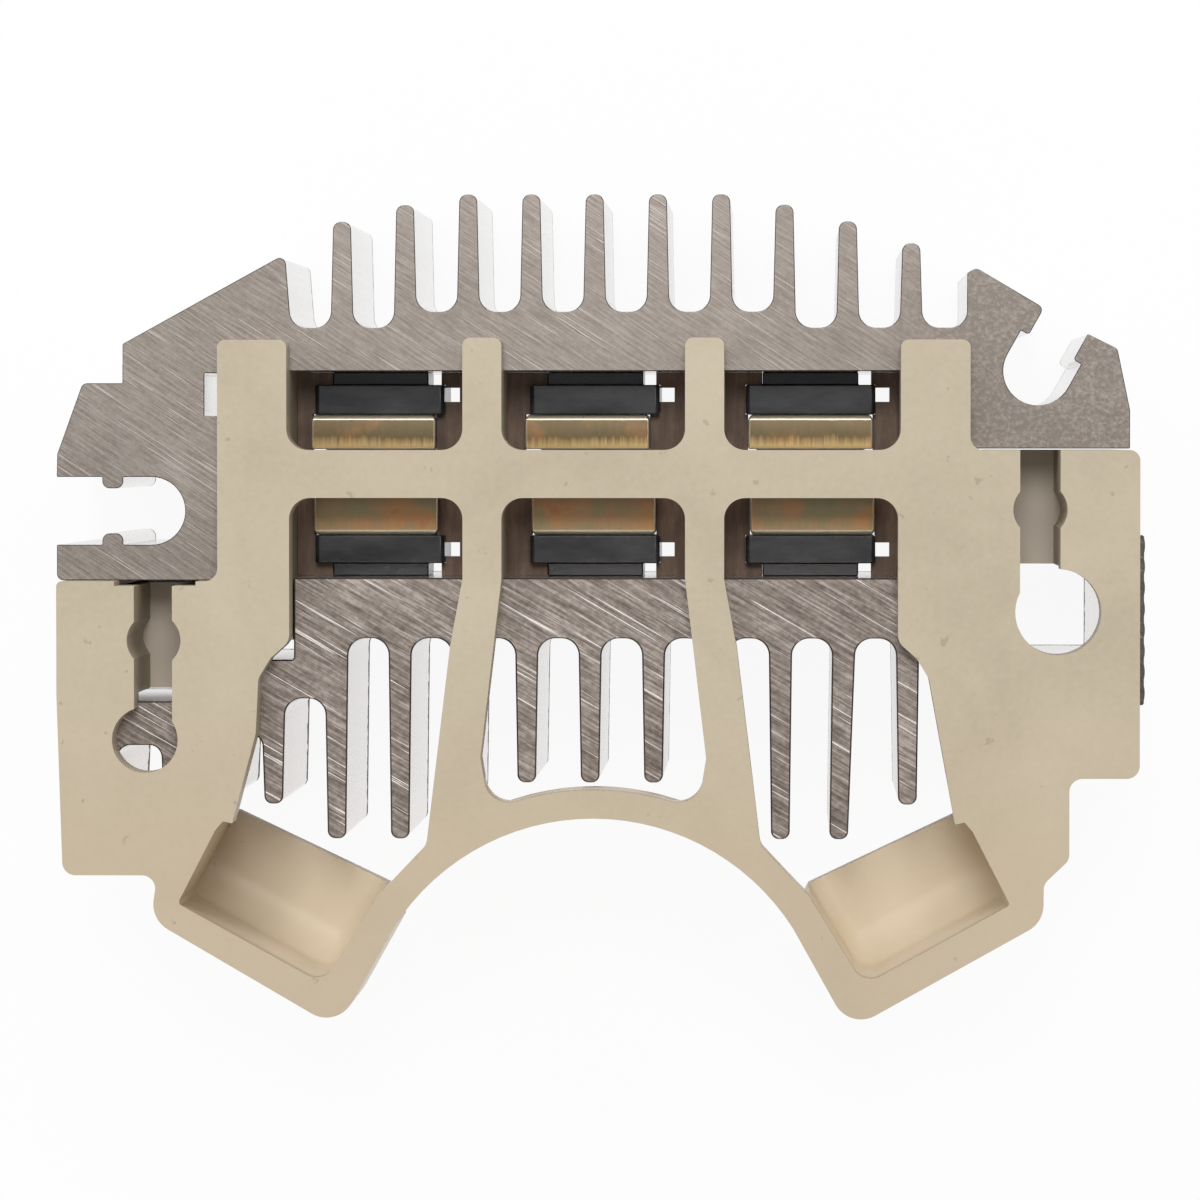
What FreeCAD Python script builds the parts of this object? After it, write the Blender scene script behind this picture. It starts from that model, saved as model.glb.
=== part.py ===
import FreeCAD, Part

import math
import os
import re

import Sketcher

# Alternator rectifier: two finned aluminium heat sinks, a moulded terminal frame that holds
# them apart, and six pressed diodes in three pairs joined by the phase straps.
# The frame of the part: Z along the extruded fins towards the terminal frame's face,
# Y from the arch of the frame towards the upper fins, origin under the middle of the box.

doc = FreeCAD.newDocument("alternator_rectifier")

# Driving sizes in millimetres.
SIZES = {
    # alternator shaft axis, which the arch and the fin tips are struck from
    "shaft_across": -0.45,
    "shaft_down": -33.95,
    # both heat sinks, sawn from one depth of extrusion
    "sink_depth": 25,
    "fin_rooting": 0.8,
    "gap_round": 1.3,
    "fin_tip_round": 0.6,
    "sink_round": 0.5,
    "through_run": 2,
    # positive heat sink
    "fin_tip_radius": 66.1,
    "fin_flat_top": 31.35,
    "fin_root": 1.75,
    "fin_tip": 1.35,
    "pos_fin_count": 10,
    "pos_first_gap": 3.9,
    "pos_last_gap": 4.245,
    "pos_mid_fins_from": 1,
    "pos_mid_fins_to": 7,
    "pos_under": 17.92,
    "pos_gap_side": 21.2,
    "pos_gap_mid": 22.42,
    "lobe_apex_y": 26.85,
    "lobe_step_top": 20.0,
    "lobe_step_low": 17.0,
    "lobe_cheek_y": 11.6,
    "lobe_low": 1.95,
    "lobe_setback": 1.6,
    "lobe_wide": 16.24,
    "lobe_fin_gap": 1.7,
    "lobe_slant": 0.45,
    "lobe_step": 5.04,
    "lobe_shoulder": 1.99,
    "lobe_lean": 0.04,
    "slot_setback": 7.24,
    "slot_y": 7.26,
    "slot_width": 5.18,
    "nib_setback": 2.15,
    "nib_length": 1.6,
    "nib_rise": 0.87,
    "nib_round": 0.55,
    "nib_rooting": 0.4,
    "ear_setback": 2.2,
    "ear_wide": 15.26,
    "ear_fin_gap": 2.88,
    "ear_bevel": 0.4,
    "ear_slant": 0.7,
    "ear_apex_y": 25.75,
    "ear_top": 3.16,
    "ear_top_y": 20.7,
    "ear_cheek": 0.96,
    "ear_cheek_y": 19.6,
    "ear_right_y": 14.95,
    "ear_low": 12.02,
    "hook_setback": 7.01,
    "hook_y": 17.92,
    "hook_width": 5.24,
    "hook_deep": 2.05,
    "hook_mouth": 3.86,
    "hook_run": 9,
    "hook_angle": 60.7,
    "channel_width": 3.1,
    "channel_height": 3.27,
    "channel_low": 14.5,
    "channel_setback": 1.83,
    # negative heat sink
    "neg_top": 2.16,
    "neg_overlap": 0.29,
    "neg_step_y": -4.09,
    "neg_step_wide": 4.59,
    "neg_tail_top": -7.28,
    "neg_tail_wide": 10.65,
    "neg_gap_mid": -2.45,
    "neg_gap_first": -7.06,
    "neg_gap_tail": -9.8,
    "neg_gap_end": -10.64,
    "neg_fin_inset": 1.55,
    "neg_fin_gaps": 11,
    "neg_last_gap": 2.775,
    "neg_fin_lean": -0.4,
    "tail_fin_inset": 0.9,
    "tail_fin_pitch": 5.05,
    "tail_fin_setback": 0.85,
    "tail_gap_round": 0.95,
    "neg_root": 1.8,
    "neg_tip": 1.42,
    "neg_tip_side": -15.1,
    "neg_tip_long": -17.75,
    "arch_fin_gap": 2.55,
    "leg_fin_gap": 0.7,
    "neg_tip_tail": -14.8,
    "neg_tip_arm": -12,
    "notch_width": 6.97,
    "notch_inset": 2.88,
    "notch_floor": -3.7,
    "neg_arm_thick": 3.23,
    "neg_arm_top": 5.43,
    "neg_arm_low": -7.5,
    "ridge_radius": 0.8,
    "ridge_pitch": 1.6,
    "ridge_count": 8,
    "ridge_sink": 0.58,
    # terminal frame
    "plate_thick": 3.5,
    "arm_clear": 1.63,
    "arm_width": 5.25,
    "arm_top": 20.25,
    "rib_width": 2.95,
    "rib_inset": 1.36,
    "rib_top": 20.4,
    "bar_top": 11.91,
    "bar_low": 8.28,
    "bar_round": 1.6,
    "arm_round": 0.6,
    "block_inset": 0.34,
    "block_top": 1.95,
    "block_lean": 0.45,
    "block_foot_y": -20.37,
    "scoop_rim_left": 2.05,
    "scoop_rim_heel": 1.55,
    "scoop_left_y": -23.72,
    "scoop_toe": 19.43,
    "scoop_toe_y": -31.98,
    "scoop_round": 2.2,
    "arch_radius": 17.95,
    "arch_foot_drop": 8.3,
    "arch_thick": 2.15,
    "arch_depth": 6,
    "arch_half_angle": 36,
    "scoop_rim_right": 2.5,
    "scoop_right_y": -23.79,
    "block_hip_out": 0.03,
    "block_hip_y": -20.9,
    "block_knee_out": 1.92,
    "block_knee_y": -19.08,
    "block_shelf_y": -12.93,
    "block_beyond": 0.59,
    "block_round": 1.0,
    "block_shoulder_round": 1.4,
    "window_lip": 0.2,
    "window_neck_y": -2.6,
    "window_hip_out": 1.4,
    "window_hip_y": -3.85,
    "window_bend_out": 0.95,
    "window_bend_y": -5.4,
    "window_waist_out_left": 0.2,
    "window_waist_out_right": 0.8,
    "window_waist_y": -9.6,
    "window_end_out": 2.0,
    "window_end_y": -16.4,
    "pocket_lip_out": 0.7,
    "pocket_lip_y": -16.25,
    "pocket_side_out": 0.6,
    "pocket_side_y": -16.95,
    "pocket_corner_out": 2.85,
    "pocket_corner_y": -22.5,
    "pocket_toe": 20.5,
    "pocket_toe_y": -28.6,
    "pocket_toe_round": 1.5,
    "pocket_inner": 16.35,
    "pocket_inner_drop": 5.85,
    "leg_foot": 15.4,
    "leg_foot_drop": 4.9,
    "leg_knee": 12.65,
    "leg_knee_drop": 2.0,
    "leg_out": 10.85,
    "leg_out_y": -3.0,
    "leg_in": 8.0,
    "leg_in_y": -6.5,
    "leg_in_low": 8.55,
    "leg_in_low_rise": 4.6,
    "mid_floor": 7.9,
    "leg_round": 1.2,
    "mid_round": 1.9,
    "scoop_floor": 14.5,
    "scoop_floor_thick": 2,
    "scoop_wall": 1.7,
    "scoop_cove": 3.0,
    "spacer_back": 2,
    "spacer_left_low": -6.6,
    "spacer_right_low": 3.1,
    "spacer_gap": 0.1,
    "groove_floor": 16,
    "groove_left_inset": 5.9,
    "groove_left_width": 2.9,
    "groove_left_ring_in": 1.5,
    "groove_left_ring_y": -2.53,
    "groove_ring_radius": 2.05,
    "keyhole_left_in": 0.82,
    "keyhole_left_y": -10.09,
    "keyhole_left_radius": 2.5,
    "groove_right_inset": 9.05,
    "groove_right_width": 3.05,
    "groove_right_ring_in": 1.53,
    "groove_right_ring_y": 7.4,
    "keyhole_right_in": 2.89,
    "keyhole_right_y": -0.34,
    "keyhole_right_radius": 3.25,
    "recess_margin": 1.5,
    "recess_width": 6.2,
    "recess_deep": 0.35,
    "post_width": 1.4,
    "post_clear": 0.25,
    "post_back": 13,
    "stake_radius": 0.8,
    "stake_proud": 0.9,
    "stake_clear": 0.05,
    "stake_inset": 3,
    # terminal board
    "board_front": 17.5,
    "board_thick": 2,
    "board_clear": 0.02,
    "board_hole": 1.1,
    "board_hole_low": 3.65,
    "board_hole_high": 16.72,
    "board_neck_gap": 1.0,
    # diodes
    "diode_pitch": 16.62,
    "diode_shift": -0.15,
    "diode_middle_z": 14,
    "case_side": 10,
    "case_corner": 0.35,
    "neck_side": 7.4,
    "neck_height": 1.0,
    "pos_case_height": 2.27,
    "neg_case_height": 2.15,
    "slug_side": 6.2,
    "slug_height": 1.5,
    "die_side": 4.2,
    "die_height": 0.35,
    "slab_side": 9.6,
    "pos_slab_height": 2.68,
    "neg_slab_height": 3.1,
    "slab_bevel": 0.3,
    "pos_slab_shift_left": -0.5,
    "pos_slab_shift_centre": -0.6,
    "pos_slab_shift_right": 0,
    "neg_slab_shift_left": -0.3,
    "neg_slab_shift_centre": -0.1,
    "neg_slab_shift_right": 0.15,
    "stub_side": 3.4,
    # phase straps
    "strap_thick": 0.85,
    "strap_width": 8.4,
    "strap_inset": 0.2,
    "lug_width": 5,
    "lug_back": 2.5,
    "lug_hole_radius": 1.2,
    "lug_hole_z": 5.2,
}

# Places that follow from the sizes. Those of the frame's openings are distances from the shaft.
PLACES = {
    "rib_in": "diode_pitch / 2 - rib_inset",
    "rib_out": "rib_in + rib_width",
    "arm_in": "diode_pitch + case_side / 2 + arm_clear",
    "arm_out": "arm_in + arm_width",
    "window_top": "arm_in - window_lip",
    "window_hip": "window_top + window_hip_out",
    "window_bend": "window_hip + window_bend_out",
    "window_waist_left": "window_bend + window_waist_out_left",
    "window_waist_right": "window_bend + window_waist_out_right",
    "window_end": "window_bend + window_end_out",
    "pocket_lip": "window_end + pocket_lip_out",
    "pocket_side": "pocket_lip + pocket_side_out",
    "pocket_corner": "pocket_side + pocket_corner_out",
    "lobe_inner": "shaft_across - arm_in - lobe_setback",
    "lobe_left": "lobe_inner - lobe_wide",
    "lobe_side_x": "lobe_inner + lobe_fin_gap",
    "lobe_apex_x": "lobe_side_x - lobe_slant",
    "lobe_step_x": "lobe_left + lobe_step",
    "lobe_shoulder_x": "lobe_left + lobe_shoulder",
    "lobe_cheek_x": "lobe_left + lobe_lean",
    "slot_x": "lobe_left + slot_setback",
    "nib_inner": "slot_x - nib_setback",
    "channel_right": "lobe_inner - channel_setback",
    "ear_inner": "shaft_across + arm_in + ear_setback",
    "ear_right": "ear_inner + ear_wide",
    "ear_side": "ear_inner + ear_fin_gap",
    "ear_apex_x": "ear_side + ear_slant",
    "ear_top_x": "ear_right - ear_top",
    "ear_cheek_x": "ear_right - ear_cheek",
    "hook_x": "ear_right - hook_setback",
    "pos_fin_first": "lobe_side_x + pos_first_gap",
    "pos_fin_pitch": "(ear_side - pos_last_gap - pos_fin_first) / (pos_fin_count - 1)",
    "block_right": "ear_right + block_beyond",
    "block_left": "lobe_left + block_inset",
    "block_foot_x": "block_left + block_lean",
    "notch_right": "block_right - notch_inset",
    "notch_left": "notch_right - notch_width",
    "neg_arm_right": "notch_right + neg_arm_thick",
    "neg_left": "shaft_across - arm_in + neg_overlap",
    "neg_step_x": "neg_left - neg_step_wide",
    "neg_tail_left": "neg_step_x - neg_tail_wide",
    "neg_fin_first": "neg_left - neg_fin_inset",
    "neg_fin_pitch": "(notch_left - neg_last_gap - neg_fin_first) / neg_fin_gaps",
    "tail_fin_outer": "neg_tail_left + tail_fin_inset",
    "tail_fin_middle": "tail_fin_outer + tail_fin_pitch",
    "tail_fin_inner": "neg_step_x - tail_fin_setback",
    "groove_left_x": "block_left + groove_left_inset",
    "groove_left_edge": "groove_left_x + groove_left_width",
    "groove_left_ring_x": "groove_left_x + groove_left_ring_in",
    "keyhole_left_x": "groove_left_x + keyhole_left_in",
    "recess_left_x": "groove_left_x - recess_margin",
    "recess_right_x": "recess_left_x + recess_width",
    "groove_right_x": "block_right - groove_right_inset",
    "groove_right_edge": "groove_right_x + groove_right_width",
    "groove_right_ring_x": "groove_right_x + groove_right_ring_in",
    "keyhole_right_x": "groove_right_x + keyhole_right_in",
    "block_heel_x": "shaft_across - pocket_corner - scoop_rim_heel",
    "scoop_left_x": "shaft_across - pocket_corner - scoop_rim_left",
    "scoop_right_x": "shaft_across + pocket_corner + scoop_rim_right",
    "block_hip_x": "scoop_right_x + block_hip_out",
    "block_knee_x": "block_hip_x + block_knee_out",
    "arch_crown": "shaft_down + arch_radius",
    "arch_foot_y": "arch_crown - arch_foot_drop",
    "pocket_inner_y": "arch_crown - pocket_inner_drop",
    "leg_foot_y": "arch_crown - leg_foot_drop",
    "leg_knee_y": "arch_crown - leg_knee_drop",
    "leg_in_low_y": "arch_crown + leg_in_low_rise",
    "neg_tip_arch": "arch_crown + arch_fin_gap",
    "neg_tip_leg": "arch_crown + leg_fin_gap",
}

sheet = doc.addObject("Spreadsheet::Sheet", "Sizes")
for row, (alias, value) in enumerate(SIZES.items(), start=1):
    sheet.set("A%d" % row, alias.replace("_", " "))
    sheet.set("B%d" % row, str(value))
    sheet.setAlias("B%d" % row, alias)
doc.recompute()


def bound(text):
    """An expression in plain names, with each place worked out and each size at its cell."""
    def cell(match):
        name = match[0]
        if name in PLACES:
            return "(%s)" % bound(PLACES[name])
        return "Sizes." + name if name in SIZES else name

    return re.sub(r"[a-z][a-z_]*[a-z]", cell, text)


def size(text):
    """The value that an expression in size names has now."""
    value = sheet.evalExpression(bound(text))
    return float(getattr(value, "Value", value))


def new_body(label):
    body = doc.addObject("PartDesign::Body", label)
    body.Label = label
    return body


def sketch_on(body, name, level="0", plane="XY_Plane"):
    """A sketch on one of the body's own origin planes, raised to a level."""
    sketch = body.newObject("Sketcher::SketchObject", name)
    origin = next(o for o in body.Origin.OriginFeatures if o.Role == plane)
    sketch.AttachmentSupport = [(origin, "")]
    sketch.MapMode = "FlatFace"
    sketch.setExpression("AttachmentOffset.Base.z", bound(level))
    return sketch


def pin_one(sketch, kind, geometry, position, text):
    """Place one point of a sketch by one distance from the origin."""
    index = sketch.addConstraint(Sketcher.Constraint(kind, -1, 1, geometry, position, size(text)))
    sketch.setExpression("Constraints[%d]" % index, bound(text))


def pin_point(sketch, geometry, position, across, along):
    pin_one(sketch, "DistanceX", geometry, position, across)
    pin_one(sketch, "DistanceY", geometry, position, along)


def draw_outline(sketch, corners):
    """A closed outline. A corner is (across, along), or (across, along, centre across,
    centre along, side) where the stretch to the next corner is an arc round that centre
    which bows to the left of its way (side 1) or to the right (side -1)."""
    count = len(corners)
    first = sketch.GeometryCount
    spots = [FreeCAD.Vector(size(c[0]), size(c[1]), 0) for c in corners]
    ends = []
    for i, corner in enumerate(corners):
        start = spots[i]
        end = spots[(i + 1) % count]
        if len(corner) == 2:
            sketch.addGeometry(Part.LineSegment(start, end))
            ends.append((1, 2))
            continue
        centre = FreeCAD.Vector(size(corner[2]), size(corner[3]), 0)
        chord = end - start
        bow = FreeCAD.Vector(-chord.y, chord.x, 0).normalize() * corner[4]
        middle = centre + bow * centre.distanceToPoint(start)
        sketch.addGeometry(Part.Arc(start, middle, end))
        ends.append((2, 1) if corner[4] > 0 else (1, 2))
    for i, corner in enumerate(corners):
        this, after = first + i, (i + 1) % count
        sketch.addConstraint(
            Sketcher.Constraint("Coincident", this, ends[i][1], first + after, ends[after][0]))
        before = corners[i - 1]
        if len(before) == 2:
            pin_point(sketch, this, ends[i][0], corner[0], corner[1])
        else:
            flat = abs(spots[i].x - size(before[2])) > abs(spots[i].y - size(before[3]))
            kind, text = ("DistanceY", corner[1]) if flat else ("DistanceX", corner[0])
            pin_one(sketch, kind, this, ends[i][0], text)
        if len(corner) == 5:
            pin_point(sketch, this, 3, corner[2], corner[3])


def draw_box(sketch, left, right, low, high):
    draw_outline(sketch, [(left, low), (right, low), (right, high), (left, high)])


def draw_circle(sketch, across, along, radius):
    spot = FreeCAD.Vector(size(across), size(along), 0)
    ring = sketch.addGeometry(Part.Circle(spot, FreeCAD.Vector(0, 0, 1), size(radius)))
    pin_point(sketch, ring, 3, across, along)
    index = sketch.addConstraint(Sketcher.Constraint("Radius", ring, size(radius)))
    sketch.setExpression("Constraints[%d]" % index, bound(radius))


def settle(feature):
    """Work the feature out, and stop here if it can't be made."""
    doc.recompute()
    if "Invalid" in feature.State or "Error" in feature.State:
        raise RuntimeError(feature.Name + " failed")


def pad(body, sketch, length, backwards=False):
    """Add the sketch to the body, along its plane's normal or backwards."""
    feature = body.newObject("PartDesign::Pad", sketch.Name + "_pad")
    feature.Profile = sketch
    feature.Reversed = backwards
    feature.setExpression("Length", bound(length))
    settle(feature)


def pocket(body, sketch, length, backwards=False):
    """Cut the sketch out of the body, along its plane's normal or backwards, and check it."""
    before = body.Shape.Volume
    feature = body.newObject("PartDesign::Pocket", sketch.Name + "_cut")
    feature.Profile = sketch
    feature.Reversed = not backwards
    feature.setExpression("Length", bound(length))
    settle(feature)
    if body.Shape.Volume > before - 1e-6:
        raise RuntimeError(sketch.Name + " cuts nothing")


def upright_edges(body, spots, axis=2):
    """Names of the body's straight edges along an axis that pass the given spots."""
    names = []
    for number, edge in enumerate(body.Shape.Edges, start=1):
        if len(edge.Vertexes) != 2 or edge.Curve.TypeId != "Part::GeomLine":
            continue
        a, b = (list(v.Point) for v in edge.Vertexes)
        if abs(a[axis] - b[axis]) < edge.Length - 1e-6:
            continue
        del a[axis]
        if any(math.dist(a, spot) < 0.02 for spot in spots):
            names.append("Edge%d" % number)
    return names


def round_corners(body, name, radius, corners, axis=2):
    """Fillet the body's edges along an axis at the given corners, as (across, along)."""
    spots = [(size(across), size(along)) for across, along in corners]
    names = upright_edges(body, spots, axis)
    if not names:
        raise RuntimeError(name + " finds no edges")
    base = body.Tip
    feature = body.newObject("PartDesign::Fillet", name)
    feature.Base = (base, names)
    feature.setExpression("Radius", bound(radius))
    settle(feature)


def make_positive_sink():
    """Upper extrusion: the left lobe with its screw slot, the backbone over the diodes,
    ten fins and the right ear with its hooked slot."""
    body = new_body("positive_heat_sink")
    base = sketch_on(body, "positive_profile")
    mid_from = "pos_fin_first + pos_mid_fins_from * pos_fin_pitch"
    mid_to = "pos_fin_first + pos_mid_fins_to * pos_fin_pitch"
    draw_outline(base, [
        ("lobe_left", "lobe_low"), ("lobe_inner", "lobe_low"), ("lobe_inner", "pos_under"),
        ("ear_inner", "pos_under"), ("ear_inner", "ear_low"), ("ear_right", "ear_low"),
        ("ear_right", "ear_right_y"), ("ear_cheek_x", "ear_cheek_y"), ("ear_top_x", "ear_top_y"),
        ("ear_apex_x", "ear_apex_y"), ("ear_side", "ear_apex_y - ear_bevel"),
        ("ear_side", "pos_gap_side"), (mid_to, "pos_gap_side"), (mid_to, "pos_gap_mid"),
        (mid_from, "pos_gap_mid"), (mid_from, "pos_gap_side"), ("lobe_side_x", "pos_gap_side"),
        ("lobe_apex_x", "lobe_apex_y"), ("lobe_step_x", "lobe_step_top"),
        ("lobe_step_x", "lobe_step_low"), ("lobe_shoulder_x", "lobe_step_low"),
        ("lobe_cheek_x", "lobe_cheek_y"), ("lobe_left", "slot_y + slot_width / 2"),
    ])
    pad(body, base, "sink_depth")
    fins = sketch_on(body, "positive_fins")
    tips = []
    roots = [("lobe_side_x", "pos_gap_side"), ("ear_side", "pos_gap_side")]
    for i in range(SIZES["pos_fin_count"]):
        middle = "(pos_fin_first + %d * pos_fin_pitch)" % i
        arc = "(shaft_down + sqrt(fin_tip_radius ^ 2 - (%s - shaft_across) ^ 2))" % middle
        tip = "fin_flat_top" if size(arc) > size("fin_flat_top") else arc
        left_mid = SIZES["pos_mid_fins_from"] < i <= SIZES["pos_mid_fins_to"]
        right_mid = SIZES["pos_mid_fins_from"] <= i < SIZES["pos_mid_fins_to"]
        corners = [
            (middle + " - fin_root / 2", "pos_gap_mid" if left_mid else "pos_gap_side"),
            (middle, "pos_gap_side - fin_rooting"),
            (middle + " + fin_root / 2", "pos_gap_mid" if right_mid else "pos_gap_side"),
            (middle + " + fin_tip / 2", tip), (middle + " - fin_tip / 2", tip),
        ]
        draw_outline(fins, corners)
        roots += [corners[0], corners[2]]
        tips += corners[3:]
    pad(body, fins, "sink_depth")
    round_corners(body, "positive_fin_tips", "fin_tip_round", tips)
    round_corners(body, "positive_fin_roots", "gap_round", roots)
    round_corners(body, "positive_outer_corners", "sink_round", [
        ("lobe_apex_x", "lobe_apex_y"), ("ear_apex_x", "ear_apex_y"),
        ("lobe_shoulder_x", "lobe_step_low"), ("ear_cheek_x", "ear_cheek_y"),
        ("lobe_left", "lobe_low"),
    ])
    slot = sketch_on(body, "screw_slot")
    top = "slot_y + slot_width / 2"
    low = "slot_y - slot_width / 2"
    mouth_x = "lobe_left - through_run"
    draw_outline(slot, [(mouth_x, top), (mouth_x, low), ("slot_x", low, "slot_x", "slot_y", -1),
                        ("slot_x", top)])
    pocket(body, slot, "sink_depth")
    nib = sketch_on(body, "slot_nibs")
    nib_outer = "nib_inner - nib_length"
    draw_box(nib, nib_outer, "nib_inner", top + " - nib_rise", top + " + nib_rooting")
    draw_box(nib, nib_outer, "nib_inner", low + " - nib_rooting", low + " + nib_rise")
    pad(body, nib, "sink_depth")
    round_corners(body, "slot_nib_rounds", "nib_round", [
        (x, y) for x in (nib_outer, "nib_inner") for y in (top + " - nib_rise", low + " + nib_rise")])

    def along(distance, offset):
        """A spot in the hooked slot, by its distance from the screw and from the slot's middle."""
        swing = ("cos(hook_angle * 1deg)", "sin(hook_angle * 1deg)")
        return ("hook_x + (%s) * %s - (%s) * %s" % (distance, swing[0], offset, swing[1]),
                "hook_y + (%s) * %s + (%s) * %s" % (distance, swing[1], offset, swing[0]))

    hook = sketch_on(body, "hook_slot")
    draw_outline(hook, [
        along("0", "hook_width / 2") + ("hook_x", "hook_y", -1), along("0", "-hook_width / 2"),
        along("hook_deep", "-hook_width / 2"), along("hook_deep", "-hook_mouth / 2"),
        along("hook_run", "-hook_mouth / 2"), along("hook_run", "hook_mouth / 2"),
        along("hook_deep", "hook_mouth / 2"), along("hook_deep", "hook_width / 2"),
    ])
    pocket(body, hook, "sink_depth")
    channel = sketch_on(body, "post_channel")
    draw_box(channel, "channel_right - channel_width", "channel_right", "channel_low",
             "channel_low + channel_height")
    pocket(body, channel, "sink_depth")
    return body


# The lower fins by name of their tip's height, from the fin beside the stepped tail to the
# right: two rows behind the frame's legs and over its arch are shorter.
LOWER_FIN_TIPS = ["side", "long", "long", "leg", "arch", "arch", "arch", "leg", "long", "long",
                  "side", "side", "arm", "arm"]


def make_negative_sink():
    """Lower extrusion: stepped tail, backbone under the diodes, fins that hang down and
    the notched right arm with its ridged outer side."""
    body = new_body("negative_heat_sink")
    base = sketch_on(body, "negative_profile")
    fin = "neg_fin_first + %d * neg_fin_pitch"
    draw_outline(base, [
        ("neg_tail_left", "neg_gap_end"), ("tail_fin_middle", "neg_gap_end"),
        ("tail_fin_middle", "neg_gap_tail"), (fin % 0, "neg_gap_tail"),
        (fin % 0, "neg_gap_first"), (fin % 1, "neg_gap_first"), (fin % 1, "neg_gap_mid"),
        (fin % 11, "neg_gap_mid"), (fin % 11, "neg_arm_low"), ("neg_arm_right", "neg_arm_low"),
        ("neg_arm_right", "neg_arm_top"), ("notch_right", "neg_arm_top"),
        ("notch_right", "notch_floor"), ("notch_left", "notch_floor"), ("notch_left", "neg_top"),
        ("neg_left", "neg_top"), ("neg_left", "neg_step_y"), ("neg_step_x", "neg_step_y"),
        ("neg_step_x", "neg_tail_top"), ("neg_tail_left", "neg_tail_top"),
    ])
    pad(body, base, "sink_depth")
    levels = ["neg_gap_end", "neg_gap_end", "neg_gap_tail", "neg_gap_tail", "neg_gap_first"]
    levels += ["neg_gap_mid"] * 10 + ["neg_arm_low"] * 3
    fins = [("tail_fin_outer", "tail"), ("tail_fin_middle", "tail"), ("tail_fin_inner", "tail")]
    fins += [(fin % i, kind) for i, kind in enumerate(LOWER_FIN_TIPS)]
    for part, rows in enumerate((range(0, 8), range(8, len(fins)))):
        outlines = sketch_on(body, "negative_fins_%d" % (part + 1))
        narrow, roots, tips = [], [], []
        for i in rows:
            middle, kind = fins[i]
            lean = "neg_fin_lean" if middle == fin % 9 else "0"
            left_root = ("%s - neg_root / 2" % middle, levels[i])
            right_root = ("%s + neg_root / 2" % middle, levels[i + 1])
            ends = [("%s %s neg_tip / 2 + %s" % (middle, sign, lean), "neg_tip_" + kind)
                    for sign in "+-"]
            buried = "max(%s; %s) + fin_rooting" % (levels[i], levels[i + 1])
            draw_outline(outlines, [left_root, (middle, buried), right_root] + ends)
            (narrow if i < 4 else roots).append(left_root)
            (narrow if i < 3 else roots).append(right_root)
            tips += ends
        pad(body, outlines, "sink_depth")
        round_corners(body, outlines.Name + "_tips", "fin_tip_round", tips)
        round_corners(body, outlines.Name + "_roots", "gap_round", roots)
        if narrow:
            round_corners(body, outlines.Name + "_tail_roots", "tail_gap_round", narrow)
    ridges = sketch_on(body, "arm_ridges")
    for i in range(SIZES["ridge_count"]):
        draw_circle(ridges, "neg_arm_right - ridge_sink",
                    "neg_arm_top - (%d + 0.5) * ridge_pitch" % i, "ridge_radius")
    pad(body, ridges, "sink_depth")
    return body


def mirrored(side, across):
    """A distance from the shaft axis to one side, -1 left or 1 right."""
    return "shaft_across %s (%s)" % ("-" if side < 0 else "+", across)


def both_sides(across, along):
    return [(mirrored(side, across), along) for side in (-1, 1)]


def add_spacers(body):
    """The deep blocks of the moulding that fill the space between the two heat sinks."""
    blocks = sketch_on(body, "spacer_blocks", "spacer_back")
    left_wall = mirrored(-1, "arm_in")
    right_wall = mirrored(1, "arm_in")
    draw_outline(blocks, [
        ("block_left", "block_top"), ("block_left", "spacer_left_low"),
        ("neg_step_x - spacer_gap", "spacer_left_low"), ("neg_step_x - spacer_gap", "window_neck_y"),
        ("neg_left - spacer_gap", "window_neck_y"), ("neg_left - spacer_gap", "neg_top"),
        (left_wall, "neg_top"), (left_wall, "pos_under"), ("lobe_inner", "pos_under"),
        ("lobe_inner", "block_top"),
    ])
    draw_outline(blocks, [
        (right_wall, "pos_under"), (right_wall, "neg_top"),
        ("notch_left", "neg_top"), ("notch_left", "spacer_right_low"),
        ("notch_right - spacer_gap", "spacer_right_low"),
        ("notch_right - spacer_gap", "neg_arm_top + spacer_gap"),
        ("block_right", "neg_arm_top + spacer_gap"), ("block_right", "bar_top"),
        ("ear_inner", "bar_top"), ("ear_inner", "pos_under"),
    ])
    pad(body, blocks, "sink_depth - spacer_back")
    round_corners(body, "block_shoulders", "block_shoulder_round", [
        ("block_left", "block_top"), ("block_right", "bar_top")])
    ribs = sketch_on(body, "rib_walls", "board_front")
    for side in (-1, 1):
        draw_box(ribs, mirrored(side, "rib_in"), mirrored(side, "rib_out"), "neg_top", "pos_under")
    pad(body, ribs, "sink_depth - board_front")
    stakes = sketch_on(body, "board_stakes", "board_front - board_thick - stake_proud")
    for across, along in stake_spots():
        draw_circle(stakes, across, along, "stake_radius")
    pad(body, stakes, "board_thick + stake_proud")
    post = sketch_on(body, "channel_post", "post_back")
    draw_box(post, "channel_right - post_clear - post_width", "channel_right - post_clear",
             "channel_low + post_clear", "channel_low + channel_height - post_clear")
    pad(body, post, "sink_depth - post_back")


def stake_spots():
    """Four heat stakes, two on each rib, that hold the terminal board."""
    low = "neg_top + stake_inset"
    high = "pos_under - stake_inset"
    return [spot for along in (low, high) for spot in both_sides("(rib_in + rib_out) / 2", along)]


def pocket_inside(side):
    """Corners of one scoop's hollow, from its lip round the toe to its inner wall."""
    return [
        (mirrored(side, "pocket_lip"), "pocket_lip_y"),
        (mirrored(side, "pocket_side"), "pocket_side_y"),
        (mirrored(side, "pocket_corner"), "pocket_corner_y"),
        (mirrored(side, "pocket_toe"), "pocket_toe_y"),
        (mirrored(side, "pocket_inner"), "pocket_inner_y"),
    ]


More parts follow.
